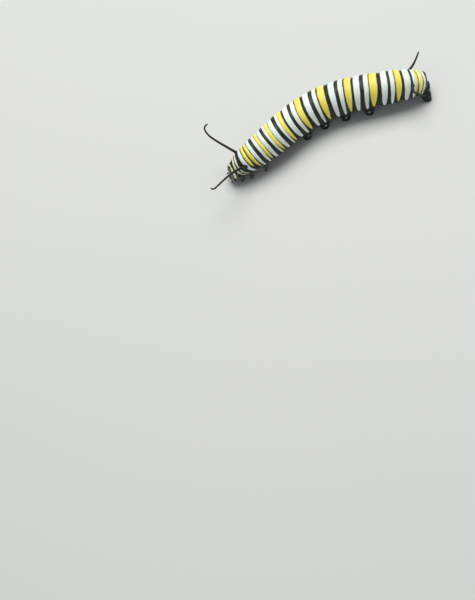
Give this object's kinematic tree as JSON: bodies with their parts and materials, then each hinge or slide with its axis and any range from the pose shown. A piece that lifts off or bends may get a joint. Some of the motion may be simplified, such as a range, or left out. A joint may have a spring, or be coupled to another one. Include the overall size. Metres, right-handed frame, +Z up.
{
  "type": "monarch larva",
  "caption": "Still, life-size monarch larva standing on its legs in an easy bend: banded segmented body, shiny head, long feelers at both ends, small claws in front and soft stump legs behind.",
  "frame": {"origin": "on the floor under the middle of the whole larva", "axes": "-X towards the head, +X towards the tail, -Y on the larva's left, +Z up from the floor that it stands on"},
  "size_m": [0.047, 0.014, 0.0116],
  "materials": {
    "skin": "soft satin skin with white, yellow and black bands",
    "head_shell": "hard glossy shell, black with yellow arches",
    "leg_shell": "hard glossy shell, black",
    "feeler": "soft matt skin, black"
  },
  "bodies": {
    "root": {"head": "head_shell", "mouthparts": "head_shell", "antenna_left": "head_shell", "antenna_right": "head_shell", "thorax_1": "skin", "thorax_2": "skin", "thorax_3": "skin", "abdomen_1": "skin", "abdomen_2": "skin", "abdomen_3": "skin", "abdomen_4": "skin", "abdomen_5": "skin", "abdomen_6": "skin", "abdomen_7": "skin", "abdomen_8": "skin", "abdomen_9": "skin", "abdomen_10": "skin", "leg_1_left": "leg_shell", "leg_1_right": "leg_shell", "leg_2_left": "leg_shell", "leg_2_right": "leg_shell", "leg_3_left": "leg_shell", "leg_3_right": "leg_shell", "proleg_3_left": "skin", "proleg_3_right": "skin", "proleg_4_left": "skin", "proleg_4_right": "skin", "proleg_5_left": "skin", "proleg_5_right": "skin", "proleg_6_left": "skin", "proleg_6_right": "skin", "clasper_left": "skin", "clasper_right": "skin", "feeler_front_left": "feeler", "feeler_front_right": "feeler", "feeler_rear_left": "feeler", "feeler_rear_right": "feeler"}
  },
  "joints": []
}
